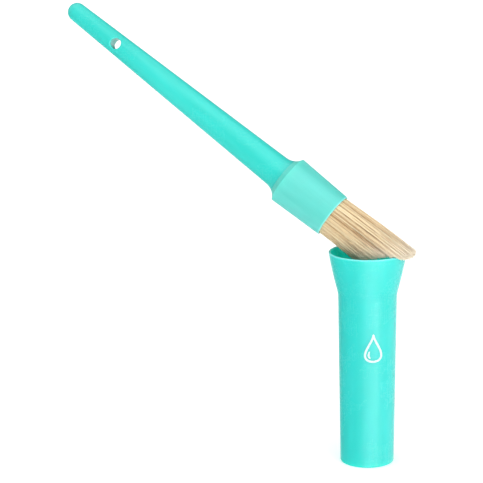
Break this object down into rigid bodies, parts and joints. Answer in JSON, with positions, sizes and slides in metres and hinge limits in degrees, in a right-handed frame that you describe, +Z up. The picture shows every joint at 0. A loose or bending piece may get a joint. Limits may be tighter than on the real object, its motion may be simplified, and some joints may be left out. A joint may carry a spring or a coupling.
{
  "type": "hoof oil brush with storage cup",
  "caption": "Round slant-cut bristle brush with a tapered handle and hanging hole, resting head-down over the flared mouth of a tall open storage cup.",
  "frame": {"origin": "centre of the cup's foot, on the surface it stands on", "axes": "+Z up along the cup's axis, +X the side the bristles point to, -Y the front"},
  "size_m": [0.243, 0.0966, 0.3163],
  "materials": {
    "cup_plastic": "smooth moulded turquoise",
    "handle_plastic": "polished moulded turquoise",
    "ferrule_plastic": "satin moulded turquoise",
    "resin": "cast amber resin",
    "core_wood": "turned, unfinished",
    "bristle": "natural tan bristle"
  },
  "bodies": {
    "cup_body": {"cup": "cup_plastic"},
    "brush_body": {"handle": "handle_plastic", "ferrule": "ferrule_plastic", "resin_setting": "resin", "core_plug": "core_wood", "bristles_outer": "bristle", "bristles_middle": "bristle", "bristles_inner": "bristle"}
  },
  "joints": [
    {"name": "brush_lift", "type": "slide", "parent": "cup_body", "child": "brush_body", "axis": [-0.7795, 0.2383, 0.5793], "range_m": [0, 0.12]}
  ]
}
